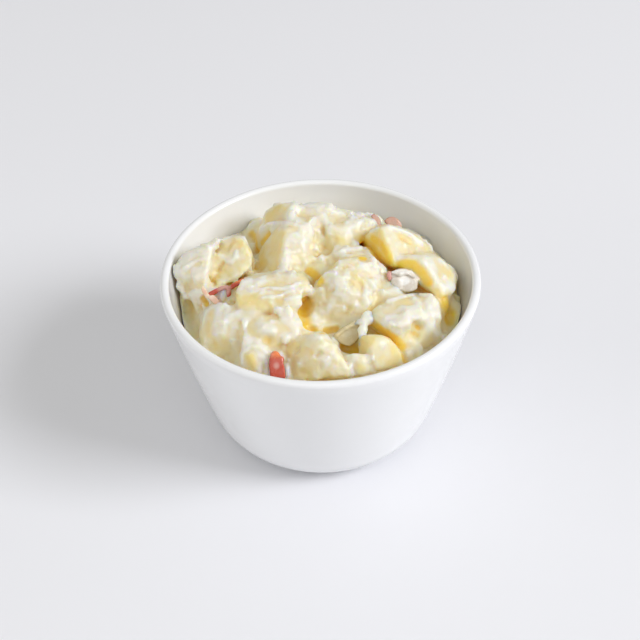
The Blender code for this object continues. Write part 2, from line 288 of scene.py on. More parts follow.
# Pepper and onion: name, stuff, waviness, and slabs given as the chunks are
BITS = [
    ("pepper_front", "red_pepper", 0.10, [
        (554, 3, (270, 358, 0), (271, 353, 1), (274.5, 351, 1), (278.5, 352.5, 1), (281, 357, 0),
         (282, 366, 0), (285, 371, 0), (285, 378, 0), (271, 377.5, 0)),
        (554.4, 2, (279.5, 356.5, 0), (283, 357, 0), (284, 359.5, 0), (282.5, 362, 0), (279.5, 361, 0)),
    ]),
    ("pepper_strip", "red_pepper", 0.06, [
        (578.3, 2, (206.5, 296.5, 0), (208.5, 293, 0), (219.5, 287.5, 1), (223, 288.5, 1), (213, 294.5, 0.5),
         (208.5, 298, 0)),
        (578.1, 1.6, (219, 287.5, 1), (228, 284.8, 1), (228.5, 288, 1), (220, 290.5, 1)),
        (578.3, 2, (226.5, 289.5, 1), (229, 285.5, 1.5), (237, 280.8, 3), (243.5, 278, 4), (245.5, 280.3, 4),
         (238.5, 284.8, 2.5), (231, 290, 1)),
        (577.8, 1.8, (226.8, 289, 0), (231, 288.5, 0.5), (230.5, 296.5, 0), (227.5, 297, 0)),
    ]),
    ("pepper_tip", "pink_pepper", 0.10, [
        (577.5, 2, (200.5, 285.5, 1), (203.5, 284.5, 1), (207.5, 291, 0), (210.5, 297.5, -0.3),
         (206.5, 298.5, -0.3), (202, 292, 1)),
        (576.6, 2, (208.5, 296.5, 0), (213, 295, 0), (220.5, 302.5, 0), (217, 305.5, 0), (211.5, 302, 0)),
    ]),
    ("pepper_back", "shaded_dull_pepper", 0.20, [
        (602, 3, (370.5, 215, 0), (374.5, 213.5, 1), (380, 218, 1), (381, 226, 0), (375, 227, 0),
         (372, 219.5, 0)),
    ]),
    ("pepper_far", "shaded_dull_pepper", 0.20, [
        (605.8, 3, (384.5, 221, 0), (389, 217.5, 0), (397, 218.5, 0), (401.5, 224, 0), (401, 229, 0),
         (392, 230, 0)),
    ]),
    ("onion_right", "white_onion", 0.16, [
        (577.8, 3, (389.5, 272, 0), (396, 269.5, 0.5), (404, 271.5, 1), (411.5, 270.5, 1), (415, 274.5, 1),
         (419, 280, 1), (410, 282, 0), (399, 280, 0), (391, 279, 0)),
        (576.8, 3, (390, 279, 0), (397, 277, 0), (402, 280, 0), (402, 290, 0.5), (396, 292, 0.5),
         (391.5, 286, 0.5)),
        (577.3, 3, (401, 280, 0), (410, 278.5, 0), (417, 281, 0), (416, 288, 1), (408, 291.5, 1),
         (401, 291, 0.5)),
    ]),
    ("onion_red", "red_pepper", 0.08, [
        (577.6, 2, (387, 272.5, 0), (390, 270.5, 0), (391.3, 274, 0), (391, 279.5, 0), (389, 281, 0),
         (387.3, 277, 0)),
    ]),
    ("onion_low", "sodden_onion", 0.16, [
        (565.3, 2.4, (333.5, 337.5, 1), (338, 331, 1), (348, 324, 1), (357, 321.5, 1), (359.5, 329, 0.5),
         (358, 339, 0), (350, 345.5, 0), (340, 343.5, 0)),
    ]),
]

# Folds of the onion: radius in millimetres, and path as image place and depth
FOLDS = {
    "onion_right": [(0.7, [(393, 272.5, 577.6), (400, 274, 577.4), (407, 273, 577.8), (414, 277, 577.8)])],
    "onion_low": [(0.8, [(337, 335.5, 565.8), (346, 328, 565.6), (355, 323.5, 566)])],
}

# Dressing drawn out between the chunks: radius in millimetres, and path as image place and depth
BRIDGES = [
    (1.6, [(367.5, 313.5, 567), (366, 318, 566), (363.8, 322.8, 564.7)]),
    (1.4, [(374, 317.5, 567.5), (369, 320, 566), (364.5, 322.5, 564.7)]),
    (1.1, [(363.8, 322.8, 564.7), (359.5, 323, 564.8)]),
    (0.7, [(359.5, 323, 564.8), (355, 324, 565.2)]),
    (1.5, [(363.8, 322.8, 564.7), (362.6, 329, 563), (362.8, 335.5, 561.2)]),
    (1.2, [(362.8, 335.5, 561.2), (362.5, 345, 560.4), (363, 354, 559.8)]),
]

# Ridges of dressing, places where the potato shows pale through it, painted amber shade in crevices and on
# shaded faces,
# and grooves and pits: kind, radius in millimetres, and path as image place
STROKES = [
    ("ridge", 1.1, (264, 227), (268, 224), (275.5, 223), (285.5, 223.5), (294.5, 225)),
    ("ridge", 0.9, (267, 240), (259.5, 256), (255, 263), (251.5, 270)),
    ("ridge", 1.2, (337.5, 253.5), (343, 250.5), (353, 249.5), (362.5, 247.5), (368.5, 249.5), (370, 255),
     (375, 261)),
    ("groove", 1.8, (360.5, 258), (364.5, 259)),
    ("amber", 1.8, (360.5, 258), (364.5, 259)),
    ("ridge", 1.3, (236.5, 252), (235, 258), (231, 262)),
    ("groove", 1.1, (223, 263), (218, 270)),
    ("ridge", 1.0, (184, 268), (192.5, 263), (201.5, 259.5)),
    ("ridge", 1.1, (286, 300), (299.5, 297), (308.5, 292), (311, 285)),
    ("groove", 2.2, (266, 339.5), (269, 340)),
    ("bare", 2.4, (266, 339.5), (269, 340)),
    ("ridge", 1.2, (242.5, 362), (243, 353), (250, 347.5), (260.5, 347.5), (264.5, 352)),
    ("ridge", 1.2, (267.5, 376), (267, 364), (269, 353)),
    ("ridge", 1.1, (287, 377), (287, 366)),
    ("ridge", 1.3, (222, 299), (223.5, 294), (224.5, 288.5)),
    ("groove", 1.2, (239.5, 322), (240.5, 335), (239, 350)),
    ("groove", 2.3, (415.5, 325.5), (418.5, 328.5)),
    ("amber", 1.3, (416, 326), (418.5, 328.5)),
    ("groove", 1.8, (413.5, 333), (417.5, 335.5)),
    ("bare", 1.5, (414, 333.5), (417.5, 335.5)),
    ("ridge", 1.3, (388.5, 301.5), (400.5, 298), (416, 295), (430, 296)),
    ("groove", 1.1, (295.5, 352), (299, 348)),
    ("groove", 1.2, (316, 356), (320, 353)),
    ("groove", 0.8, (402, 239), (410, 243)),
    ("groove", 1.6, (437, 292), (438.5, 296.5)),
    ("ridge", 1.2, (358, 222.5), (364.5, 219.5), (371.5, 222.5)),
    ("ridge", 1.1, (362.5, 229.5), (371.5, 231.5), (378.5, 228.5)),
    ("ridge", 1.3, (388, 227), (399, 230.5), (411, 235.5), (421, 243)),
    ("ridge", 1.0, (252, 292), (268, 288), (284, 289), (300, 283)),
    ("ridge", 0.9, (263, 298), (280, 296), (293, 290)),
    ("bare", 5.0, (382, 312), (394, 305), (405, 301)),
    ("bare", 3.5, (402, 239), (412, 243)),
    ("bare", 5.0, (279, 207), (272, 212), (269, 220)),
    ("bare", 5.0, (262, 246), (260, 262), (268, 270)),
    ("bare", 4.0, (437, 292), (439, 298)),
    ("bare", 4.5, (251, 355), (254, 364)),
    ("bare", 4.0, (292, 346), (289, 352)),
    ("bare", 3.5, (238, 330), (238, 348)),
    ("groove", 3.4, (306, 301), (304.5, 314), (309, 326)),
    ("amber", 4.4, (304, 300), (302, 312), (306, 326)),
    ("groove", 1.8, (311, 328.5), (318, 331), (326, 331), (336, 329)),
    ("amber", 2.3, (311, 329), (324, 331), (336, 329)),
    ("amber", 3.4, (371, 324), (381, 329), (392, 336), (402, 347)),
    ("groove", 2.6, (347, 348), (355, 350)),
    ("amber", 5.0, (345, 347), (356, 350)),
    ("bare", 3.6, (363, 342), (364, 356)),
    ("amber", 3.6, (396, 267), (405, 263.5), (413, 265), (421, 271.5), (428, 282)),
    ("amber", 4.4, (363, 241), (374, 249), (386, 264)),
    ("amber", 3.4, (373, 239), (381, 244), (387, 254), (390, 263)),
    ("groove", 3.0, (187.5, 306), (190, 318), (197, 332)),
    ("bare", 4.0, (210, 312), (207.5, 322), (209, 334)),
    ("amber", 3.2, (309, 271), (315, 275), (320, 281)),
    ("amber", 2.8, (251, 233), (256, 241), (258, 250)),
    ("amber", 2.2, (270, 234), (262, 243)),
    ("groove", 1.4, (203, 299.5), (206, 303)),
    ("amber", 2.4, (203, 299), (207, 304)),
    ("bare", 5.5, (447, 300), (449, 316), (446, 328)),
    ("amber", 5.4, (446, 303), (450, 313), (448.5, 320)),
    ("amber", 2.4, (403, 356), (406, 361)),
]



def corner_join(radius):
    """Height and reach of the point where a rounded corner meets the wall."""
    lean = math.atan(WALL_SLOPE)
    return radius * (1 - math.sin(lean)), radius * math.cos(lean)


def corner_heights(radius):
    """Heights that step evenly round a corner, up to its join with the wall."""
    turn = math.pi / 2 - math.atan(WALL_SLOPE)
    return [radius * (1 - math.cos(turn * i / CORNER_STEPS)) for i in range(CORNER_STEPS + 1)]


def sloped_wall(z):
    """Radius of the outer wall's near-straight part, which swells a little midway."""
    low = corner_join(OUTER_CORNER)[0]
    share = (z - low) / (LIP_HEIGHT - low)
    return RIM_RADIUS - WALL_SLOPE * (LIP_HEIGHT - z) + 4 * WALL_BULGE * share * (1 - share)


def face_radius(z, floor, corner, wall):
    """Radius of a face of the bowl at heights: a rounded corner, and then the wall."""
    z = np.asarray(z, float)
    join, reach = corner_join(corner)
    flat = sloped_wall(floor + join) - wall - reach
    rise = np.clip(z - floor, 0, corner)
    arc = flat + np.sqrt(np.maximum(corner ** 2 - (corner - rise) ** 2, 0))
    return np.where(z - floor >= join, sloped_wall(z) - wall, arc)


def inner_radius(z):
    """Radius of the inside of the bowl at heights."""
    return face_radius(z, FLOOR_TOP, INNER_CORNER, WALL)


def outer_radius(z):
    """Radius of the outside of the bowl at heights."""
    return face_radius(z, 0.0, OUTER_CORNER, 0.0)


def camera_axes():
    """Right, up and ahead of the camera."""
    ahead = (CAMERA_AIM - CAMERA_PLACE).normalized()
    level = ahead.cross(Vector((0, 0, 1))).normalized()
    lift = level.cross(ahead)
    right = level * math.cos(CAMERA_ROLL) + lift * math.sin(CAMERA_ROLL)
    up = lift * math.cos(CAMERA_ROLL) - level * math.sin(CAMERA_ROLL)
    return right, up, ahead


class Grid:
    """Even points in millimetres."""

    def __init__(self, low, high, step):
        self.low = np.array(low, np.float32)
        self.step = step
        self.shape = tuple(math.ceil((h - l) / step) + 1 for l, h in zip(low, high))
        self.axes = [l + np.float32(step) * np.arange(n, dtype=np.float32)
                     for l, n in zip(self.low, self.shape)]

    def window(self, low, high):
        """Slices that hold a box, kept inside the grid."""
        cut = []
        for k in range(3):
            first = math.floor((low[k] - self.low[k]) / self.step)
            last = math.ceil((high[k] - self.low[k]) / self.step) + 1
            cut.append(slice(max(first, 0), max(min(last, self.shape[k]), 0)))
        return tuple(cut)

    def offsets(self, cut=WHOLE, centre=(0, 0, 0)):
        """Open mesh of the window's places about a centre."""
        x, y, z = (self.axes[k][cut[k]] - np.float32(centre[k]) for k in range(3))
        return x[:, None, None], y[None, :, None], z[None, None, :]


def lumps(grid, size, seed):
    """Smooth random lumps about this many millimetres across, with unit spread."""
    draw = np.random.default_rng(seed)
    counts = [int((n - 1) * grid.step / size) + 5 for n in grid.shape]
    values = draw.uniform(-1, 1, counts).astype(np.float32)
    for k, n in enumerate(grid.shape):
        at = np.arange(n) * grid.step / size
        cell = at.astype(int)
        f = at - cell
        weights = np.zeros((n, counts[k]), np.float32)
        rows = np.arange(n)
        weights[rows, cell] = (1 - f) ** 3 / 6
        weights[rows, cell + 1] = (3 * f ** 3 - 6 * f ** 2 + 4) / 6
        weights[rows, cell + 2] = (-3 * f ** 3 + 3 * f ** 2 + 3 * f + 1) / 6
        weights[rows, cell + 3] = f ** 3 / 6
        values = np.moveaxis(np.tensordot(weights, values, axes=(1, k)), 0, k)
    values = np.ascontiguousarray(values)
    return values / values.std()


def swelling(waves, weights, cut):
    """Lumps of some sizes in a window, added by their weights."""
    return sum(weight * waves[name][cut] for name, weight in weights.items())


def ripples(grid, cut, warp, turn):
    """Wavy ridges, in -1..1, that run across a piece turned by this many degrees."""
    x, y, z = grid.offsets(cut)
    m = Euler((0, 0, math.radians(turn)), "XYZ").to_matrix()
    a, b = (m[0][k] * x + m[1][k] * y + m[2][k] * z for k in (0, 1))
    wave = (b + RIPPLE_SLANT * a) * np.float32(2 * math.pi / RIPPLE_LENGTH)
    return np.sin(wave + RIPPLE_WARP * warp[cut])


def soft_min(a, b, reach):
    """The lower of two fields, rounded where they are close."""
    near = np.maximum(reach - np.abs(a - b), 0)
    return np.minimum(a, b) - near * near / (4 * reach)


def soft_max(a, b, reach):
    """The higher of two fields, rounded where they are close."""
    return -soft_min(-a, -b, reach)


def pixel_points(pixels):
    """Places in millimetres, from image places and depths ahead of the camera."""
    right, up, ahead = camera_axes()
    points = []
    for px, py, depth in pixels:
        u = (px - IMAGE_SIDE / 2) / FOCAL_PIXELS
        v = (py - IMAGE_SIDE / 2) / FOCAL_PIXELS
        points.append(CAMERA_PLACE + (ahead + right * u - up * v) * depth)
    return points


def hull_planes(points):
    """Outward normals and reaches of the faces of the convex hull of points."""
    form = bmesh.new()
    for p in points:
        form.verts.new(p)
    made = bmesh.ops.convex_hull(form, input=form.verts)
    middle = sum(points, Vector()) / len(points)
    planes = []
    for face in made["geom"]:
        if not isinstance(face, bmesh.types.BMFace) or face.calc_area() < SMALLEST_FACE:
            continue
        n = face.normal * math.copysign(1, face.normal.dot(face.verts[0].co - middle))
        if all(n.dot(other) < SAME_WAY for other, _ in planes):
            planes.append((n, n.dot(face.verts[0].co)))
    form.free()
    return planes


def seen_chunk(depth, thickness, *corners):
    """Planes and corners of a piece whose front the camera sees."""
    front = pixel_points([(x, y, depth + away) for x, y, away in corners])
    back = pixel_points([(x, y, depth + away + thickness) for x, y, away in corners])
    return hull_planes(front + back), front + back


def hidden_chunk(centre, size, turn):
    """Planes and corners of a plain block."""
    axes = Euler([math.radians(a) for a in turn], "XYZ").to_matrix()
    corners = [Vector(centre) + axes @ Vector([s * d / 2 for s, d in zip(size, (i, j, k))])
               for i in (-1, 1) for j in (-1, 1) for k in (-1, 1)]
    planes = []
    for k in range(3):
        for side in (-1, 1):
            n = axes.col[k] * side
            planes.append((n, n.dot(Vector(centre)) + size[k] / 2))
    return planes, corners


def block_field(places, planes, edge):
    """How far points lie outside the planes, rounded where they meet."""
    x, y, z = places
    total = 0
    for n, reach in planes:
        outside = x * np.float32(n[0]) + y * np.float32(n[1]) + z * np.float32(n[2]) - np.float32(reach)
        total = total + np.exp(np.clip(np.float32(1 / edge) * outside, -LARGEST_POWER, LARGEST_POWER))
    return np.float32(edge) * (np.log(total) - np.float32(PLANE_SHARE))


def rod_field(grid, cut, start, end):
    """Distance from a straight line between two places."""
    x, y, z = grid.offsets(cut, start)
    d = np.array(end, np.float32) - np.array(start, np.float32)
    share = np.clip((x * d[0] + y * d[1] + z * d[2]) / max(float(d @ d), 1e-6), 0, 1)
    return np.sqrt((x - share * d[0]) ** 2 + (y - share * d[1]) ** 2 + (z - share * d[2]) ** 2)


def join_rods(grid, form, rods, join):
    """The field with round rods along paths joined to it."""
    for radius, places in rods:
        for start, end in zip(places, places[1:]):
            form = soft_min(form, rod_field(grid, WHOLE, start, end) - radius, join)
    return form


def reach_of(corners, spare):
    """Lowest and highest place of a piece, with room about it."""
    low = [min(c[k] for c in corners) - spare for k in range(3)]
    high = [max(c[k] for c in corners) + spare for k in range(3)]
    return low, high


def ends_cut(ends):
    """Slices for either end of the grid's edges along some axes."""
    cut = [slice(None)] * 3
    for k, end in ends.items():
        cut[k] = slice(1, None) if end else slice(None, -1)
    return tuple(cut)


def fill_pinches(field):
    """The field, filled where its surface would touch itself along an edge."""
    field = field.copy()
    for _ in range(PINCH_PASSES):
        inside = field < 0
        for a, b in ((0, 1), (0, 2), (1, 2)):
            corners = [ends_cut({a: i, b: j}) for i in (0, 1) for j in (0, 1)]
            low, side, other, high = (inside[cut] for cut in corners)
            pinched = (low == high) & (side == other) & (low != side)
            for cut in corners:
                field[cut][pinched & ~inside[cut]] = -PINCH_FILL
    return field


def crossed_edges(inside, k):
    """Starts of the grid's inner edges along one axis that the surface crosses."""
    crossed = np.argwhere(inside[ends_cut({k: 0})] != inside[ends_cut({k: 1})])
    keep = np.ones(len(crossed), bool)
    for a in range(3):
        if a != k:
            keep &= (crossed[:, a] > 0) & (crossed[:, a] < inside.shape[a] - 1)
    return crossed[keep]


def surface_net(grid, field):
    """Points in millimetres and four-sided faces of the field's surface."""
    field = fill_pinches(field)
    inside = field < 0
    cells = [n - 1 for n in field.shape]
    total = np.zeros((4, math.prod(cells)))
    faces = []
    for k in range(3):
        start = crossed_edges(inside, k)
        end = start.copy()
        end[:, k] += 1
        f0 = field[tuple(start.T)]
        f1 = field[tuple(end.T)]
        place = start.astype(float)
        place[:, k] += f0 / (f0 - f1)
        a, b = (axis for axis in range(3) if axis != k)
        quad = []
        for step_a, step_b in ((0, 0), (1, 0), (1, 1), (0, 1)):
            cell = start.copy()
            cell[:, a] -= step_a
            cell[:, b] -= step_b
            flat = np.ravel_multi_index(tuple(cell.T), cells)
            quad.append(flat)
            for axis, weights in enumerate((*place.T, None)):
                total[axis] += np.bincount(flat, weights, total.shape[1])
        quad = np.stack(quad, 1)
        flip = (f0 < 0) == (k == 1)
        quad[flip] = quad[flip][:, ::-1]
        faces.append(quad)
    used = np.flatnonzero(total[3])
    number = np.full(total.shape[1], -1, np.int64)
    number[used] = np.arange(len(used))
    points = (total[:3, used] / total[3, used]).T * grid.step + grid.low
    return points, number[np.concatenate(faces)]


def sample(grid, field, points):
    """The field at points, straight between the grid's values."""
    at = (points - grid.low) / grid.step
    at = np.clip(at, 0, np.array(grid.shape) - 1.001)
    cell = at.astype(int)
    f = (at - cell).astype(np.float32)
    value = np.zeros(len(points), np.float32)
    for i, j, k in np.ndindex(2, 2, 2):
        weight = np.abs(1 - i - f[:, 0]) * np.abs(1 - j - f[:, 1]) * np.abs(1 - k - f[:, 2])
        value += weight * field[cell[:, 0] + i, cell[:, 1] + j, cell[:, 2] + k]
    return value


def box_blur(field, reach):
    """The mean over a cube that reaches this many points each way."""
    for k in range(3):
        room = [(0, 0)] * 3
        room[k] = (reach + 1, reach)
        running = np.cumsum(np.pad(field, room, mode="edge"), k, dtype=np.float64).astype(np.float32)
        n = field.shape[k]
        field = (np.take(running, range(-n, 0), k) - np.take(running, range(n), k)) / (2 * reach + 1)
    return field


def cast(grid, field, pixels):
    """The places on the field's surface that the camera sees at these pixels."""
    right, up, ahead = (np.array(axis) for axis in camera_axes())
    u, v = ((np.array(pixels, float) - IMAGE_SIDE / 2) / FOCAL_PIXELS).T
    rays = ahead + u[:, None] * right - v[:, None] * up
    start = np.array(CAMERA_PLACE) + rays * ((RAY_TOP - CAMERA_PLACE.z) / rays[:, 2])[:, None]
    unit = rays / np.linalg.norm(rays, axis=1)[:, None]
    found = start.copy()
    open_rays = np.ones(len(pixels), bool)
    for i in range(RAY_STEPS):
        point = start + unit * (i * RAY_STEP)
        hit = open_rays & (sample(grid, field, point) < 0)
        found[hit] = point[hit]
        open_rays &= ~hit
    return found


def trace(grid, field, path):
    """Places along a path on the field's surface, as the camera sees it."""
    pixels = []
    for start, end in zip(path, path[1:]):
        steps = max(2, int(math.dist(start, end) / TRACE_STEP))
        pixels += [tuple(a + (b - a) * i / steps for a, b in zip(start, end)) for i in range(steps)]
    pixels.append(path[-1])
    return cast(grid, field, pixels)


def path_field(grid, cut, places):
    """Distance from a traced path, broken where it would leap to another chunk."""
    rod = EMPTY
    for start, end in zip(places, places[1:]):
        joined = math.dist(start, end) < LONGEST_STEP
        rod = np.minimum(rod, rod_field(grid, cut, start, end if joined else start))
    return rod


def add_strokes(grid, potato, dressing):
    """Lay, wipe and cut the strokes, and give the field of painted amber shade."""
    amber = np.zeros(grid.shape, np.float32)
    for kind, radius, *path in STROKES:
        places = trace(grid, np.minimum(potato, dressing), path)
        cut = grid.window(*reach_of(places, spare=radius + 2.0))
        rod = path_field(grid, cut, places)
        if kind == "ridge":
            dressing[cut] = soft_min(dressing[cut], rod - RIDGE_RISE * radius, RIDGE_JOIN * radius)
        elif kind in WIPED:
            share = np.clip(1 - rod / radius, 0, 1)
            share = share * share * (3 - 2 * share)
            wiped, shade_tint = WIPED[kind]
            dressing[cut] += wiped * share
            amber[cut] = np.maximum(amber[cut], shade_tint * share)
        else:
            for field in (dressing, potato):
                field[cut] = soft_max(field[cut], GROOVE_REACH * radius - rod, GROOVE_REACH * radius)
    return amber


def add_object(name, data):
    """A linked object."""
    item = bpy.data.objects.new(name, data)
    bpy.context.scene.collection.objects.link(item)
    return item


def add_mesh(name, points, faces, material):
    """A smooth mesh object from points in millimetres and four-sided faces."""
    mesh = bpy.data.meshes.new(name)
    mesh.vertices.add(len(points))
    mesh.vertices.foreach_set("co", (points * MM).ravel())
    mesh.loops.add(faces.size)
    mesh.loops.foreach_set("vertex_index", faces.astype(np.int32).ravel())
    mesh.polygons.add(len(faces))
    mesh.polygons.foreach_set("loop_start", np.arange(0, faces.size, 4, dtype=np.int32))
    mesh.update(calc_edges=True)
    mesh.validate()
    mesh.shade_smooth()
    mesh.materials.append(material)
    return add_object(name, mesh)


def apply_modifiers(item):
    """Keep the mesh as its modifiers leave it."""
    depsgraph = bpy.context.evaluated_depsgraph_get()
    mesh = bpy.data.meshes.new_from_object(item.evaluated_get(depsgraph))
    item.modifiers.clear()
    item.data = mesh


def turn_profile(name, profile, steps, material):
    """A smooth turned piece, from radius and height pairs in millimetres."""
    mesh = bpy.data.meshes.new(name)
    edges = [(i, i + 1) for i in range(len(profile) - 1)]
    mesh.from_pydata([(r * MM, 0, z * MM) for r, z in profile], edges, [])
    item = add_object(name, mesh)
    turn = item.modifiers.new("turn", "SCREW")
    turn.axis = "Z"
    turn.angle = 2 * math.pi
    turn.steps = steps
    turn.render_steps = steps
    turn.use_merge_vertices = True
    turn.merge_threshold = MERGE
    apply_modifiers(item)
    item.data.shade_smooth()
    item.data.materials.append(material)
    return item


def keep_largest_part(mesh):
    """Drop the small closed parts that hang loose or lie hidden inside the main one."""
    form = bmesh.new()
    form.from_mesh(mesh)
    unseen = set(form.verts)
    parts = []
    while unseen:
        border = {unseen.pop()}
        part = set(border)
        while border:
            border = {e.other_vert(v) for v in border for e in v.link_edges} & unseen
            unseen -= border
            part |= border
        parts.append(part)
    parts.sort(key=len)
    bmesh.ops.delete(form, geom=[v for part in parts[:-1] for v in part], context="VERTS")
    form.to_mesh(mesh)
    form.free()


def write_attributes(mesh, **values):
    """Numbers for each vertex, that the material reads."""
    for name, each in values.items():
        made = mesh.attributes.new(name, "FLOAT", "POINT")
        made.data.foreach_set("value", np.asarray(each, np.float32))


def read_vectors(items, name):
    """A vector of each vertex or vertex normal of a mesh."""
    values = np.zeros(len(items) * 3, np.float32)
    items.foreach_get(name, values)
    return values.reshape(-1, 3)


class Shader:
    """A short way to write the nodes of a material or a world."""

    def __init__(self, owner, main="Principled BSDF"):
        owner.use_nodes = True
        self.owner = owner
        self.tree = owner.node_tree
        self.main = self.tree.nodes[main]
        self.places = self.tree.nodes.new("ShaderNodeTexCoord").outputs

    def put(self, socket, value):
        """Link a socket, or set its value."""
        if isinstance(value, bpy.types.NodeSocket):
            self.tree.links.new(value, socket)
        else:
            socket.default_value = (*value, 1.0) if socket.type == "RGBA" else value

    def set(self, **values):
        """Set the main node's sockets, by names with underscores for spaces."""
        for name, value in values.items():
            self.put(self.main.inputs[name.replace("_", " ")], value)

    def node(self, kind, output, inputs, **settings):
        """The output of a new node, with its inputs linked or set."""
        node = self.tree.nodes.new("ShaderNode" + kind)
        for name, value in settings.items():
            setattr(node, name, value)
        for name, value in inputs.items():
            self.put(node.inputs[name], value)
        return node.outputs[output]

    def attribute(self, name):
        """A number written on the mesh."""
        return self.node("Attribute", "Fac", {}, attribute_name=name)

    def noise(self, scale, detail=2.0, roughness=0.5):
        """Cloudy noise in 0..1, finer for a larger scale."""
        inputs = {"Vector": self.places["Object"], "Scale": scale, "Detail": detail, "Roughness": roughness}
        return self.node("TexNoise", "Fac", inputs)

    def math(self, kind, a, b):
        """Two numbers put together."""
        return self.node("Math", 0, {0: a, 1: b}, operation=kind)

    def span(self, value, low, high, out_low=0.0, out_high=1.0):
        """A smooth step as the value goes from low to high."""
        inputs = {"Value": value, "From Min": low, "From Max": high, "To Min": out_low, "To Max": out_high}
        return self.node("MapRange", 0, inputs, interpolation_type="SMOOTHSTEP")

    def mix(self, share, a, b):
        """Colour a turning into colour b."""
        return self.node("Mix", 2, {0: share, 6: a, 7: b}, data_type="RGBA")

    def bump(self, height, strength, distance):
        """Surface normals that follow a height."""
        return self.node("Bump", "Normal", {"Strength": strength, "Distance": distance, "Height": height})


def new_shader(name):
    """A new material's nodes."""
    return Shader(bpy.data.materials.new(name))


def salad_material():
    """Cream dressing over pale yellow potato, where light sinks in; painted shade makes crevices and shaded
    faces deeper yellow and amber, and pale specks are painted glints.
    """
    s = new_shader("creamy_potato")
    coat = s.attribute("coat")
    cavity = s.attribute("cavity")
    patch = s.noise(260, 3.0, 0.55)
    glint_speck = s.noise(900, 2.0, 0.6)
    cream = (0.790, 0.773, 0.695)
    thin = (0.792, 0.738, 0.545)
    bare = (0.805, 0.685, 0.345)
    shade_colour = (0.850, 0.585, 0.060)
    light = (0.93, 0.90, 0.76)
    base = s.mix(s.span(coat, -0.9, -0.2), bare, thin)
    base = s.mix(s.span(coat, -0.2, 0.5), base, cream)
    # Painted shade: places shut in by the heap and the wall, and bare ones, turn deeper yellow and then
    # amber.
    shade_share = s.math("ADD", cavity, s.span(coat, -0.7, 0.1, 0.06, 0.0))
    base = s.mix(s.span(shade_share, 0.56, 0.76, 0.0, 0.75), base, bare)
    base = s.mix(s.span(shade_share, 0.74, 0.94), base, shade_colour)
    # Painted amber shade laid by the strokes.
    base = s.mix(s.span(s.attribute("amber"), 0.05, 0.85, 0.0, 0.92), base, shade_colour)
    base = s.mix(s.span(patch, 0.45, 0.75, 0.0, 0.20), base, thin)
    # Pale specks: painted glints of the wet dressing.
    base = s.mix(s.span(glint_speck, 0.62, 0.8, 0.0, 0.20), base, light)
    s.set(Base_Color=base)
    s.set(Subsurface_Weight=1.0, Subsurface_Scale=0.0080, Subsurface_Radius=(1.0, 0.74, 0.28))
    s.set(Roughness=s.span(patch, 0.3, 0.7, 0.28, 0.42), Specular_IOR_Level=0.42)
    height = s.math("ADD", s.math("MULTIPLY", s.noise(1500, 3.0, 0.6), 0.35), s.noise(520, 3.0, 0.55))
    s.set(Normal=s.bump(height, 0.20, 0.0005))
    return s.owner


def bit_material(name, skin, flesh, inside, end, smear, radius):
    """A vegetable bit, its paler flesh toward the camera, under smears of dressing."""
    s = new_shader(name)
    grain = s.noise(700, 3.0, 0.55)
    base = s.mix(s.span(s.attribute("skin"), 0.25, 0.75), flesh, skin)
    base = s.mix(s.span(grain, 0.4, 0.75, 0.0, 0.35), base, inside)
    base = s.mix(s.span(s.attribute("tip"), 0.66, 0.92), base, end)
    base = s.mix(s.span(s.attribute("coat"), 0.35, 0.75), base, smear)
    s.set(Base_Color=base)
    s.set(Subsurface_Weight=0.5, Subsurface_Scale=0.0005, Subsurface_Radius=radius)
    s.set(Roughness=s.span(grain, 0.3, 0.7, 0.16, 0.30), Specular_IOR_Level=0.5)
    s.set(Normal=s.bump(s.noise(900, 3.0, 0.5), 0.15, 0.0004))
    return s.owner


def bowl_material():
    """White glaze, faintly uneven."""
    s = new_shader("white_glaze")
    s.set(Base_Color=s.mix(s.noise(22), (0.85, 0.857, 0.873), (0.875, 0.881, 0.892)))
    s.set(Roughness=s.span(s.noise(60, 3.0), 0.3, 0.7, 0.16, 0.24))
    s.set(Specular_IOR_Level=0.5, Coat_Weight=0.25, Coat_Roughness=0.08)
    s.set(Normal=s.bump(s.noise(95), 0.06, 0.001))
    return s.owner


def table_material():
    """Plain pale table top."""
    s = new_shader("pale_table")
    s.set(Base_Color=s.mix(s.noise(3), (0.81, 0.813, 0.845), (0.83, 0.833, 0.865)), Roughness=0.55)
    return s.owner


def chunk_fields(grid, waves):
    """Fields of the chunks as cut, and with the dressing that clings to each."""
    potato = np.full(grid.shape, EMPTY, np.float32)
    cream = np.full(grid.shape, EMPTY, np.float32)
    pieces = [(name, finish, seen_chunk(*form)) for name, finish, *form in CHUNKS]
    pieces += [("hidden", PLAIN_FINISH, hidden_chunk(*form)) for form in HIDDEN]
    for number, (name, (grain, coat, flow), (planes, corners)) in enumerate(pieces):
        cut = grid.window(*reach_of(corners, spare=5.0))
        form = block_field(grid.offsets(cut), planes, CHUNK_EDGE)
        turn = np.random.default_rng(100 + number).uniform(-RIPPLE_TURN, RIPPLE_TURN)
        relief = swelling(waves, POTATO_SWELL, cut) + grain * swelling(waves, GRAIN_SWELL, cut)
        relief += RIPPLED.get(name, 0.0) * ripples(grid, cut, waves["medium"], turn)
        form = form - relief
        potato[cut] = soft_min(potato[cut], form, CHUNK_JOIN)
        cream[cut] = soft_min(cream[cut], form - coat, flow)
    return potato, cream


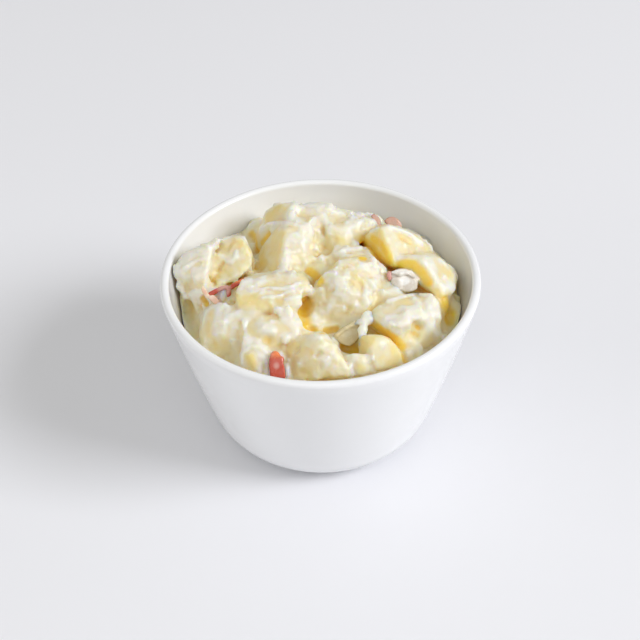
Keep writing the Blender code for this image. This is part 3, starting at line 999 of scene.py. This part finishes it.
def heap_fields(grid):
    """Fields of the chunks, of the dressing, and of the painted amber shade."""
    waves = {name: lumps(grid, size, seed=11 + i) for i, (name, size) in enumerate(LUMPS.items())}
    waves["beads"] = sum(np.maximum(waves[name] - low, 0) for name, low in BEADS.items())
    potato, cream = chunk_fields(grid, waves)
    x, y, z = grid.offsets()
    reach = np.sqrt(x * x + y * y)
    share = 1 - (reach / float(inner_radius(FILLING_LEVEL))) ** 2
    filling = z - (FILLING_AT_WALL + FILLING_RISE * share) - FILLING_SWELL * waves["broad"]
    cream = soft_min(cream, filling, FILLING_JOIN)
    potato = soft_max(potato, -(filling + FILLING_DEPTH), FILLING_EDGE)
    # The dressing lies thick on upper and right-hand faces and thin on the others, so the others, turned
    # from the key light, show more yellow potato: partly real, partly painted shade.
    dressing = np.roll(cream, (1, 0, 1), (0, 1, 2)) + DRESSING_SINK
    for name, weight in DRESSING_SWELL.items():
        dressing = dressing - weight * waves[name]
    amber = add_strokes(grid, potato, dressing)
    wall = reach - (inner_radius(grid.axes[2]).astype(np.float32)[None, None, :] - WALL_CLEARANCE)
    bounds = np.maximum(wall, np.maximum(z - HEAP_TOP, HEAP_FLOOR - z))
    return soft_max(potato, bounds, CHUNK_JOIN), soft_max(dressing, bounds, CHUNK_JOIN), amber


def shut_in(grid, surface, places):
    """How much of the room about each place the heap and the wall fill, in 0..1."""
    x, y, z = grid.offsets()
    wall = (inner_radius(grid.axes[2])[None, None, :] < np.sqrt(x * x + y * y)) & (z < HEIGHT)
    solid = np.maximum(np.clip(0.5 - surface / grid.step, 0, 1), wall.astype(np.float32))
    blurs = [box_blur(box_blur(solid, reach), reach) for reach in SHADE_REACHES]
    return sum(sample(grid, blur, places) for blur in blurs) / len(blurs)


def build_heap(material):
    """The potato chunks under their dressing, as one closed surface."""
    grid = Grid(FIELD_LOW, FIELD_HIGH, FIELD_STEP)
    potato, dressing, amber = heap_fields(grid)
    surface = np.minimum(potato, dressing)
    points, faces = surface_net(grid, surface)
    item = add_mesh("coated_potato", points, faces, material)
    thin = item.modifiers.new("thin", "DECIMATE")
    thin.ratio = SURFACE_FACES / (2 * len(faces))
    thin.use_collapse_triangulate = True
    apply_modifiers(item)
    mesh = item.data
    keep_largest_part(mesh)
    where = read_vectors(mesh.vertices, "co") / MM
    below = where - SHADE_DEPTH * read_vectors(mesh.vertex_normals, "vector")
    coat = sample(grid, potato - dressing, where)
    # Painted crevice shade, from how shut in each place is a little under the surface.
    cavity = shut_in(grid, surface, below)
    write_attributes(mesh, coat=coat, cavity=cavity, amber=sample(grid, amber, where))
    mesh.shade_smooth()
    return item


def build_bridges(material):
    """The dressing drawn out between the chunks, as one smooth piece."""
    rods = [(radius, pixel_points(path)) for radius, path in BRIDGES]
    grid = Grid(*reach_of([p for _, places in rods for p in places], spare=3.0), BIT_STEP)
    swell = STRAND_SWELL * lumps(grid, STRAND_LUMP, seed=290)
    form = join_rods(grid, np.full(grid.shape, EMPTY, np.float32), rods, STRAND_JOIN)
    points, faces = surface_net(grid, form - swell)
    item = add_mesh("dressing_bridges", points, faces, material)
    each = np.ones(len(points))
    write_attributes(item.data, coat=STRAND_COAT * each, cavity=STRAND_SHADE * each)
    return item


def build_bit(name, wave, slabs, material, seed):
    """One piece of pepper or onion, of thin curved slabs that meet."""
    forms = [seen_chunk(*slab) for slab in slabs]
    folds = [(radius, pixel_points(path)) for radius, path in FOLDS.get(name, [])]
    grid = Grid(*reach_of([p for _, ends in forms for p in ends], spare=1.6), BIT_STEP)
    bend = lumps(grid, BIT_BEND, seed)
    grain = lumps(grid, BIT_GRAIN, seed + 1)
    smear = lumps(grid, SMEAR_LUMP, seed + 2)
    form = np.full(grid.shape, EMPTY, np.float32)
    for planes, _ in forms:
        form = soft_min(form, block_field(grid.offsets(), planes, BIT_EDGE), BIT_JOIN)
    form = join_rods(grid, form, folds, FOLD_JOIN)
    points, faces = surface_net(grid, form - wave * bend - GRAIN_SHARE * wave * grain)
    item = add_mesh(name, points, faces, material)
    where = read_vectors(item.data.vertices, "co") / MM
    right, up, ahead = (np.array(axis) for axis in camera_axes())
    height = where @ up
    centre = where.mean(0)
    off_centre = np.hypot((where - centre) @ right, (where - centre) @ up)
    coat = SMEAR + SMEAR * sample(grid, smear, where)
    # Whiter middle: partly smear, partly painted highlight.
    coat += SMEAR_AND_HIGHLIGHT_MIDDLE * np.exp(-(off_centre / SMEAR_AND_HIGHLIGHT_REACH) ** 2)
    skin = 0.5 + SKIN_SHARE * (read_vectors(item.data.vertex_normals, "vector") @ ahead)
    write_attributes(item.data, skin=skin, tip=(height - height.min()) / np.ptp(height), coat=coat)
    return item


def build_bits():
    """The pepper and onion in the heap."""
    stuffs = {stuff: bit_material(stuff, *colours) for stuff, colours in STUFFS.items()}
    return [build_bit(name, wave, slabs, stuffs[stuff], seed=300 + 10 * i)
            for i, (name, stuff, wave, slabs) in enumerate(BITS)]


def build_core(material):
    """The filling below the heap's surface, turned to fit the bowl."""
    profile = [(0.0, CORE_HEIGHTS[0] + CORE_RISE)]
    profile += zip(inner_radius(CORE_HEIGHTS) - CORE_GAP, CORE_HEIGHTS)
    profile.append((0.0, CORE_HEIGHTS[-1]))
    return turn_profile("salad_core", profile, CORE_STEPS, material)


def bowl_profile():
    """Section of the bowl, from the middle over the lip to the foot."""
    inside = [FLOOR_TOP + z for z in corner_heights(INNER_CORNER)]
    inside += list(np.linspace(inside[-1], LIP_HEIGHT, WALL_STEPS + 1)[1:])
    corner = corner_heights(OUTER_CORNER)
    outside = list(np.linspace(LIP_HEIGHT, corner[-1], WALL_STEPS + 1)) + corner[-2::-1]
    points = [(0.0, FLOOR_TOP)]
    points += zip(inner_radius(inside), inside)
    for i in range(1, LIP_STEPS):
        a = math.pi * (1 - i / LIP_STEPS)
        r = RIM_RADIUS - LIP_RADIUS + LIP_RADIUS * math.cos(a)
        points.append((r, LIP_HEIGHT + LIP_RADIUS * math.sin(a)))
    points += zip(outer_radius(outside), outside)
    ring = outer_radius(0.0) - FOOT_RING_WIDTH
    points += [(ring, 0.0), (ring - FOOT_RECESS, FOOT_RECESS), (0.0, FOOT_RECESS)]
    return points


def build_bowl():
    """The turned bowl, with the CAD's section."""
    return turn_profile("glazed_bowl", bowl_profile(), BOWL_STEPS, bowl_material())


def build_floor():
    """A wide flat table top."""
    mesh = bpy.data.meshes.new("floor")
    corners = [(x * FLOOR_REACH, y * FLOOR_REACH, 0) for x, y in ((-1, -1), (1, -1), (1, 1), (-1, 1))]
    mesh.from_pydata(corners, [], [(0, 1, 2, 3)])
    mesh.materials.append(table_material())
    add_object("floor", mesh)


def build_sky():
    """Soft light from all round, stronger from above."""
    world = bpy.data.worlds.new("studio")
    bpy.context.scene.world = world
    s = Shader(world, "Background")
    height = s.node("SeparateXYZ", "Z", {0: s.places["Generated"]})
    inputs = {"Value": height, "From Max": SKY_FADE, "To Min": SKY_LOW, "To Max": SKY_HIGH}
    s.set(Color=SKY_COLOUR, Strength=s.node("MapRange", 0, inputs))


def add_light(name, place, aim, size, power, colour):
    """A soft rectangular light."""
    light = bpy.data.lights.new(name, "AREA")
    light.shape = "RECTANGLE"
    light.size, light.size_y = size
    light.energy = power
    light.color = colour
    item = add_object(name, light)
    item.location = place
    item.rotation_euler = (Vector(aim) - Vector(place)).to_track_quat("-Z", "Y").to_euler()


def build_camera():
    """The camera at the photograph's angle."""
    camera = bpy.data.cameras.new("camera")
    camera.sensor_width = SENSOR
    camera.lens = FOCAL_PIXELS / IMAGE_SIDE * SENSOR
    camera.clip_start = 0.01
    item = add_object("camera", camera)
    right, up, ahead = camera_axes()
    turn = Matrix((right, up, -ahead)).transposed().to_4x4()
    item.matrix_world = Matrix.Translation(CAMERA_PLACE * MM) @ turn
    bpy.context.scene.camera = item


def build_stage():
    """Floor, light and camera."""
    build_floor()
    build_sky()
    for light in LIGHTS:
        add_light(*light)
    build_camera()
    bpy.context.scene.view_settings.view_transform = "Standard"


build_stage()
bowl = build_bowl()
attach(bowl, "root")
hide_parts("bowl")
salad = salad_material()
for piece in [build_heap(salad), build_core(salad), build_bridges(salad)] + build_bits():
    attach(piece, "root")
    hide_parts("potato_salad")
